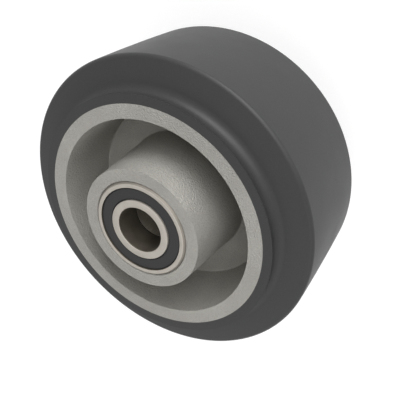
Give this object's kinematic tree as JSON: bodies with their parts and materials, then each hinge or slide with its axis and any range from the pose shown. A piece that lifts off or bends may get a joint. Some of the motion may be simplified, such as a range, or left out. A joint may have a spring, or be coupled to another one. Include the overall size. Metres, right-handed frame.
{
  "type": "rubber wheel",
  "caption": "Grey rubber-tyred wheel on a solid-web cast centre, with a sealed ball bearing in each end of its hub.",
  "frame": {"origin": "centre of the wheel, on its axle axis and midway between its two ends", "axes": "+Z along the axle axis, towards the end that the picture shows; the wheel stands on its other hub end; X and Y are any two directions across it"},
  "size_m": [0.1016, 0.1016, 0.062],
  "materials": {
    "grey_rubber": "smooth moulded, satin",
    "cast_iron": "fine grey casting, faces machined",
    "bearing_steel": "ground",
    "ball_steel": "polished",
    "cage_steel": "pressed sheet",
    "seal_rubber": "matte",
    "plate_steel": "pressed sheet",
    "spacer_steel": "drawn tube"
  },
  "bodies": {
    "axle_side": {"spacer_tube": "spacer_steel", "front_inner_ring": "bearing_steel", "rear_inner_ring": "bearing_steel"},
    "wheel": {"tyre": "grey_rubber", "wheel_centre": "cast_iron", "front_outer_ring": "bearing_steel", "front_seal_outboard": "seal_rubber", "front_seal_inboard": "seal_rubber", "front_seal_plate_outboard": "plate_steel", "front_seal_plate_inboard": "plate_steel", "rear_outer_ring": "bearing_steel", "rear_seal_outboard": "seal_rubber", "rear_seal_inboard": "seal_rubber", "rear_seal_plate_outboard": "plate_steel", "rear_seal_plate_inboard": "plate_steel"},
    "front_ball_set": {"front_balls": "ball_steel", "front_cage_outboard": "cage_steel", "front_cage_inboard": "cage_steel", "front_cage_rivets": "cage_steel"},
    "rear_ball_set": {"rear_balls": "ball_steel", "rear_cage_outboard": "cage_steel", "rear_cage_inboard": "cage_steel", "rear_cage_rivets": "cage_steel"}
  },
  "joints": [
    {"name": "wheel_spin", "type": "hinge", "parent": "axle_side", "child": "wheel", "pos_m": [0, 0, 0], "axis": [0, 0, 1], "continuous": true},
    {"name": "front_ball_orbit", "type": "hinge", "parent": "axle_side", "child": "front_ball_set", "pos_m": [0, 0, 0.02645], "axis": [0, 0, 1], "continuous": true},
    {"name": "rear_ball_orbit", "type": "hinge", "parent": "axle_side", "child": "rear_ball_set", "pos_m": [0, 0, -0.02645], "axis": [0, 0, 1], "continuous": true}
  ],
  "couplings": [
    {"joint": "front_ball_orbit", "follows": "wheel_spin", "ratio": 0.60132},
    {"joint": "rear_ball_orbit", "follows": "wheel_spin", "ratio": 0.60132}
  ]
}
